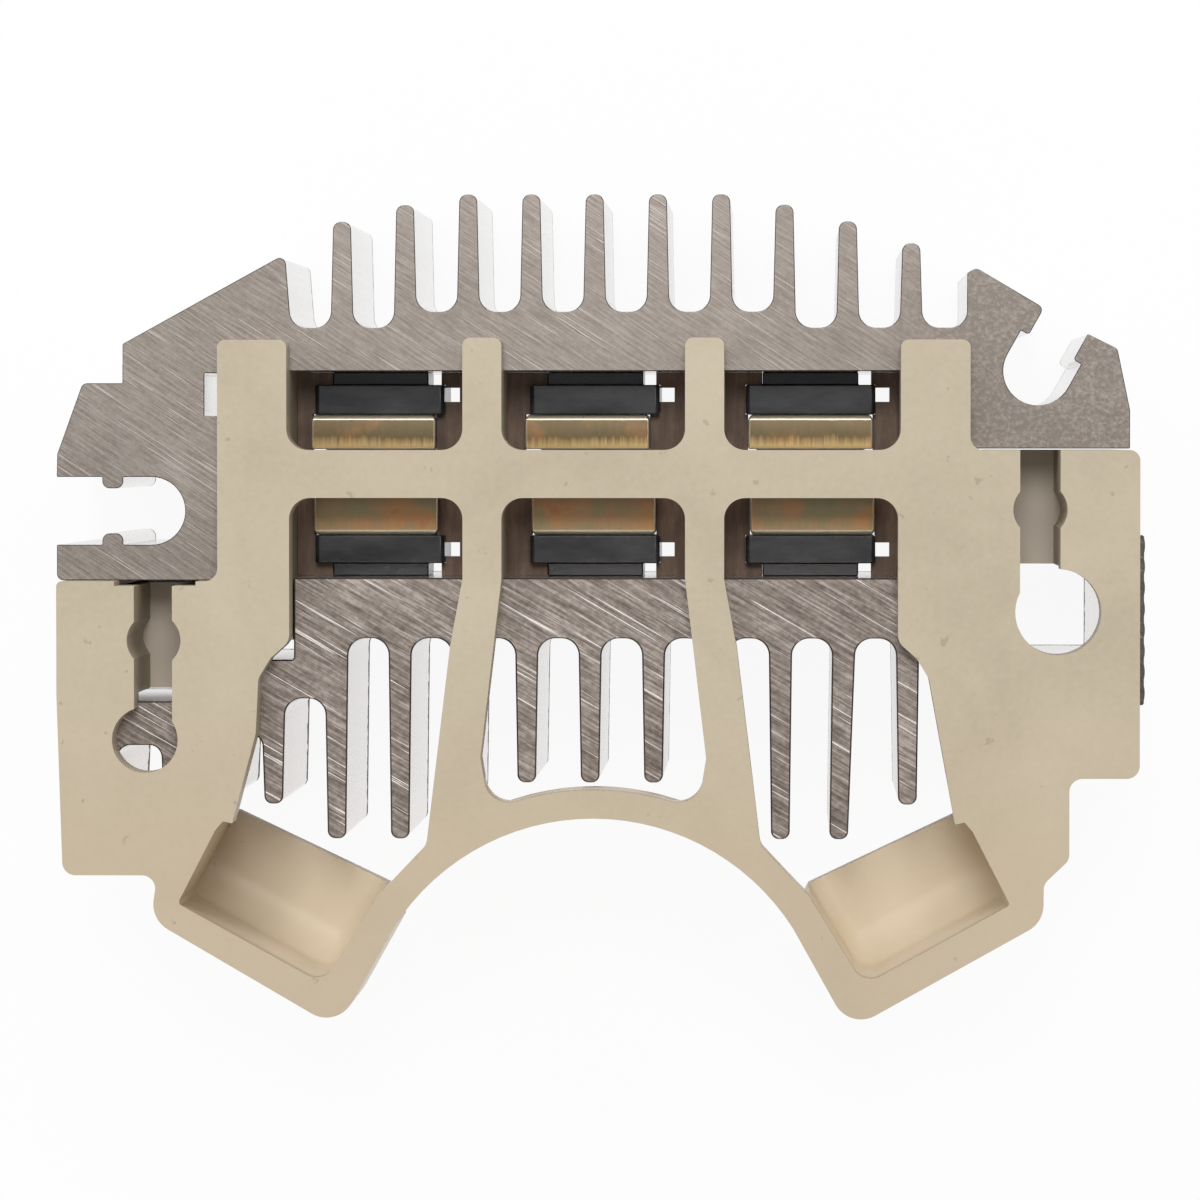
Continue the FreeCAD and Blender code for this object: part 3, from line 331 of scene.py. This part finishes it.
def flatten_ridges(sink):
    """Fill most of each valley between the arm's ridges."""
    for point in sink.data.vertices:
        if point.co.x > RIDGE_FOOT:
            point.co.x = RIDGE_CREST - (RIDGE_CREST - point.co.x) * RIDGE_SHARE


soften("negative_heat_sink", SINK_EDGE, 1, lower_sawn, flatten_ridges)


# Diodes: a copper slug and a silicon die inside a black epoxy case, with a plated slab on top.
# The upper slabs are clean gold, and the lower ones are tinted by the heat of their soldering.

copper = Finish("bare_copper", Metallic=1.0, Roughness=0.32)
copper_cloud = copper.noise(copper.place, 900, 3, 0.6)
copper.set(Base_Color=copper.ramp(copper_cloud, [
    (0.3, (0.48, 0.22, 0.13)), (0.7, (0.72, 0.40, 0.27))]))

silicon = Finish("polished_silicon", Metallic=0.6, Roughness=0.12)
silicon_cloud = silicon.noise(silicon.place, 400, 2, 0.5)
silicon.set(Base_Color=silicon.ramp(silicon_cloud, [
    (0.3, (0.09, 0.09, 0.11)), (0.7, (0.16, 0.16, 0.19))]))

epoxy = Finish("black_epoxy")
epoxy_cloud = epoxy.noise(epoxy.stretched((2.5, 1, 1)), 420, 3, 0.55)
epoxy.set(
    Base_Color=epoxy.ramp(epoxy_cloud, [
        (0.35, (0.012, 0.013, 0.015)), (0.65, (0.055, 0.057, 0.062))]),
    Roughness=0.16 + epoxy_cloud * 0.2,
    Normal=epoxy.bump(epoxy_cloud, 0.00003, 0.5),
)


RIM_FACING = (0.25, 0.997)
PAINTED_RIM_HIGHLIGHT = (1.0, 0.90, 0.70, 1)


def plated_slab(name, levels, painted_light_bands, tarnish, share):
    """Plate striped up the slab in painted reflection and shade between two levels, with fine
    lines drawn down it, a share of tarnish in patches where it was hot, and a painted highlight on
    its edges."""
    finish = Finish(name)
    steep, flat = RIM_FACING
    facing = abs(finish.parts(finish.normal)["Z"])
    grain = finish.noise(finish.stretched((1, 20, 1)), 3400, 3, 0.6)
    drift = finish.noise(finish.stretched((3, 1, 1)), 420, 3, 0.6)
    patches = finish.noise(finish.place, 330, 3, 0.55)
    rise = finish.grey_ramp(finish.parts(finish.place)["Y"], *levels)
    # Painted reflection and shade: the stripes are lightest low on the slab and darker further up.
    colour = finish.ramp(rise + (drift - 0.5) * 0.25 + (grain - 0.5) * 0.5, painted_light_bands)
    face = finish.mix(share, colour, finish.ramp(patches, tarnish))
    # Painted highlight: the bevelled edges are pale and less metallic, so they show as bright
    # lines.
    highlight_rim = (facing < flat) * (facing > steep)
    finish.set(
        Base_Color=finish.mix(highlight_rim, face, PAINTED_RIM_HIGHLIGHT),
        Metallic=1 - highlight_rim * 0.4,
        Roughness=0.22 + grain * 0.18,
        Normal=finish.bump(grain, 0.00001, 0.4),
    )
    return finish


gold = plated_slab(
    "gold_plate", levels=(0.0119, 0.0145),
    painted_light_bands=[(0.12, (0.70, 0.49, 0.22)), (0.26, (0.40, 0.27, 0.12)),
           (0.40, (0.145, 0.107, 0.058)), (0.9, (0.19, 0.147, 0.09))],
    tarnish=[(0.42, (0.15, 0.135, 0.08)), (0.55, (0.22, 0.155, 0.08)),
             (0.68, (0.60, 0.26, 0.10))],
    share=0.25)
tinted = plated_slab(
    "heat_tinted_plate", levels=(0.0053, 0.0084),
    painted_light_bands=[(0.15, (0.42, 0.28, 0.15)), (0.4, (0.33, 0.19, 0.10)),
           (0.65, (0.33, 0.22, 0.125)), (0.9, (0.30, 0.19, 0.12))],
    tarnish=[(0.38, (0.25, 0.28, 0.15)), (0.5, (0.42, 0.27, 0.15)),
             (0.6, (0.56, 0.27, 0.10)), (0.7, (0.50, 0.12, 0.08))],
    share=0.5)
CASE_EDGE = 0.00012
SLAB_EDGE = 0.00015
SIDES = ("left", "centre", "right")
for side in SIDES:
    for pole, plate, plate_slot in (("positive", gold, "upper_terminal"),
                                    ("negative", tinted, "lower_terminal")):
        diode = "%s_diode_%s" % (pole, side)
        dress(diode + "_base", copper)
        dress(diode + "_die", silicon)
        soften(diode + "_case", CASE_EDGE, 2, epoxy)
        soften(diode + "_terminal", SLAB_EDGE, 2, plate)


# Phase straps: copper strip, dulled by handling. Each is bent to join an upper and a lower slab
# behind the frame's crossbar, and takes one of the stator's leads in its lug.

strip = Finish("dull_copper_strip", Metallic=1.0)
strip_cloud = strip.noise(strip.place, 500, 4, 0.6)
strip.set(
    Base_Color=strip.ramp(strip_cloud, [(0.3, (0.30, 0.15, 0.09)), (0.7, (0.60, 0.34, 0.22))]),
    Roughness=0.3 + strip_cloud * 0.25,
)
STRAP_EDGE = 0.0001
for side in SIDES:
    soften("phase_strap_" + side, STRAP_EDGE, 2, strip)


# Terminal board: brown pressed laminate, stamped out round the diodes and held by the stakes of
# the frame. Its fibres show as fine streaks over a mottled brown.

laminate = Finish("brown_laminate", Roughness=0.5)
fibre = laminate.noise(laminate.stretched((1, 8, 1)), 1500, 4, 0.65)
mottle = laminate.noise(laminate.place, 220, 3, 0.6)
laminate.set(
    Base_Color=laminate.ramp(fibre * 0.5 + mottle * 0.5, [
        (0.34, (0.11, 0.062, 0.037)), (0.5, (0.19, 0.115, 0.072)), (0.64, (0.31, 0.20, 0.135))]),
    Normal=laminate.bump(fibre, 0.00004, 0.5),
)
dress("terminal_board", laminate)


# Terminal frame: one moulding of glass-filled nylon in light tan, which holds the sinks apart.
# Its faces are satin, its edges round off a little, and the flow of the plastic leaves faint
# clouds and a few dark specks.

WALL_FACING = 0.5
FLOOR_FACING = 0.7
SCOOPS_BELOW = -0.013
# Each pair gives where a shade starts and where it is full, measured from the part's origin.
GROOVES_PAST = (0.0265, 0.0275)
WALL_DEPTHS = (0.0283, 0.0235)
FLOOR_DEPTHS = (0.0275, 0.02)
SCOOP_DEPTHS = (0.0279, 0.0262)
SCOOP_REACH = (0.0195, 0.0115)
RIGHT_SCOOP_SHIFT = 0.0045
WARM_BELOW = (-0.006, -0.021)
WARM_TAN = (0.575, 0.455, 0.315, 1)
SPECK_TAN = (0.25, 0.18, 0.11, 1)
PAINTED_LIGHT_FLOOR_TAN = (0.92, 0.82, 0.68, 1)
PAINTED_LIGHT_SCOOP_TAN = (0.88, 0.765, 0.59, 1)
PAINTED_SHADE_TAN = (0.21, 0.18, 0.14, 1)

nylon = Finish("tan_nylon")
flow = nylon.noise(nylon.place, 55, 4, 0.6, 0.6)
speckle = nylon.noise(nylon.place, 1900, 3, 0.6)
orange_peel = nylon.noise(nylon.place, 420, 3, 0.5)
specks = nylon.grey_ramp(nylon.noise(nylon.place, 900, 2, 0.5), 0.715, 0.75)
place = nylon.parts(nylon.place)
normal = nylon.parts(nylon.normal)
above_scoops = place["Y"] > SCOOPS_BELOW
grooves = nylon.grey_ramp(abs(place["X"]), *GROOVES_PAST)
# Painted shade: upright walls above the scoops darken with depth, less so in the screw grooves.
walls = above_scoops * nylon.grey_ramp(abs(normal["Z"]), WALL_FACING, 0)
walls = walls * nylon.grey_ramp(place["Z"], *WALL_DEPTHS) * (0.6 - grooves * 0.4)
# Painted light: the deep floors above the scoops are brightened.
painted_light_floors = above_scoops * (normal["Z"] > FLOOR_FACING) * nylon.grey_ramp(place["Z"], *FLOOR_DEPTHS)
# Painted light: the insides of the scoops are brightened, fading towards their outer corners, and
# reaching further out in the right scoop, as the light falls from the left.
reach = abs(place["X"]) + place["Y"] * 0.5 - (place["X"] > 0) * RIGHT_SCOOP_SHIFT
scoops = (1 - above_scoops) * nylon.grey_ramp(place["Z"], *SCOOP_DEPTHS)
scoops = scoops * nylon.grey_ramp(reach, *SCOOP_REACH)
warm = nylon.grey_ramp(place["Y"], *WARM_BELOW)
tan = nylon.ramp(flow * 0.75 + speckle * 0.25, [
    (0.35, (0.49, 0.415, 0.297)), (0.5, (0.545, 0.463, 0.336)), (0.66, (0.59, 0.505, 0.373))])
for share, colour in ((warm * 0.6, WARM_TAN), (specks * 0.35, SPECK_TAN), (painted_light_floors, PAINTED_LIGHT_FLOOR_TAN),
                      (scoops, PAINTED_LIGHT_SCOOP_TAN), (walls, PAINTED_SHADE_TAN)):
    tan = nylon.mix(share, tan, colour)
nylon.set(
    Base_Color=tan,
    Roughness=0.34 + flow * 0.14,
    Normal=nylon.bump(orange_peel + speckle * 0.25, 0.00005, 0.35),
)


FRAME_EDGE = 0.00028
SCOOP_CORNERS = (((-0.032, -0.0225), 0.0003), ((0.0311, -0.0225), 0.00025))
SHOULDERS = (((-0.0412, 0.00195), 1, 0.0004), ((0.04085, 0.01191), -1, 0.0008))
SHOULDER_ROUND = 0.0014
SHOULDER_SLACK = 0.00002


def trim_corners(moulding):
    """Round the scoops' sharp corners, and draw the round shoulders of the end blocks out to
    tighter corners."""
    round_upright_edges(moulding, SCOOP_CORNERS)
    for (outside, top), inward, tight in SHOULDERS:
        for point in moulding.data.vertices:
            across = (point.co.x - outside) * inward
            down = top - point.co.y
            if all(-SHOULDER_SLACK < run < SHOULDER_ROUND + SHOULDER_SLACK
                   for run in (across, down)):
                turn = math.atan2(SHOULDER_ROUND - down, SHOULDER_ROUND - across)
                point.co.x = outside + inward * tight * (1 - math.cos(turn))
                point.co.y = top - tight * (1 - math.sin(turn))


soften("terminal_frame", FRAME_EDGE, 3, nylon, trim_corners)


# Floor and backdrop: one large sheet of white paper just under the part. The camera and the
# metal see it as plain white, and it keeps a little of the part's shadow.

SHEET = 1.6
SHEET_DROP = 0.0004
GLOW_SHARE = 0.93
SKY_STRENGTH = 0.5
bpy.ops.object.select_all(action="DESELECT")
bpy.ops.mesh.primitive_plane_add(size=SHEET, location=(0, 0, -SHEET_DROP))
floor = bpy.context.active_object
floor.name = "floor_sheet"
paper = Finish("white_paper", Base_Color=(0.92, 0.92, 0.92, 1), Roughness=0.9)
light_path = paper.node("ShaderNodeLightPath")
seen = light_path["Is Camera Ray"] * GLOW_SHARE
seen = seen + light_path["Is Glossy Ray"] + light_path["Is Transmission Ray"]
glow = paper.node("ShaderNodeEmission", None, {"Color": (1, 1, 1, 1), "Strength": 1.0})["Emission"]
surface = paper.node("ShaderNodeMixShader", None, {
    0: paper.grey_ramp(seen, 0, 1),
    1: Number(paper, paper.shader.outputs["BSDF"]),
    2: glow,
})["Shader"]
paper.tree.links.new(surface.socket, paper.tree.nodes["Material Output"].inputs["Surface"])
floor.data.materials.append(paper.material)

world = bpy.context.scene.world or bpy.data.worlds.new("studio")
bpy.context.scene.world = world
world.use_nodes = True
sky = world.node_tree.nodes["Background"]
sky.inputs["Color"].default_value = (1, 1, 1, 1)
sky.inputs["Strength"].default_value = SKY_STRENGTH


# Light: four soft round lamps above the part's far edge, as over a table, so that light falls
# down into the scoops. Each is aimed at the part's middle.

def soft_lamp(name, spot, size, power):
    """A round lamp that shines at the part's middle."""
    bpy.ops.object.light_add(type="AREA", location=spot)
    lamp = bpy.context.active_object
    lamp.name = name
    lamp.data.shape = "DISK"
    lamp.data.size = size
    lamp.data.energy = power
    toward = -lamp.location
    lamp.rotation_mode = "QUATERNION"
    lamp.rotation_quaternion = toward.to_track_quat("-Z", "Y")


soft_lamp("left_lamp", (-0.4, 0.3, 0.5), 0.3, 0.7)
soft_lamp("right_lamp", (0.4, 0.3, 0.5), 0.3, 0.5)
soft_lamp("far_lamp", (-0.08, 0.6, 0.5), 0.3, 1.2)
soft_lamp("high_lamp", (0.02, 0.24, 0.78), 0.25, 1.5)


# Camera: the photograph looks straight down on the moulded face from half a metre, a little to
# the right of and above the part's middle.

REACH = 0.473
LENS = 187.7
RIGHT_OF_MIDDLE = 0.01383
ABOVE_MIDDLE = 0.01244
AIM_LEFT = 0.01376
AIM_DOWN = 0.01187
face_height = cad_box[1].z
bpy.ops.object.camera_add(location=(RIGHT_OF_MIDDLE, ABOVE_MIDDLE, face_height + REACH))
camera = bpy.context.active_object
camera.name = "photo_camera"
camera.data.sensor_width = 36
camera.data.lens = LENS
camera.rotation_euler = (math.atan(-AIM_DOWN / REACH), math.atan(AIM_LEFT / REACH), 0)
camera.data.clip_start = 0.05
camera.data.clip_end = 5
bpy.context.scene.camera = camera
bpy.context.scene.view_settings.view_transform = "Standard"
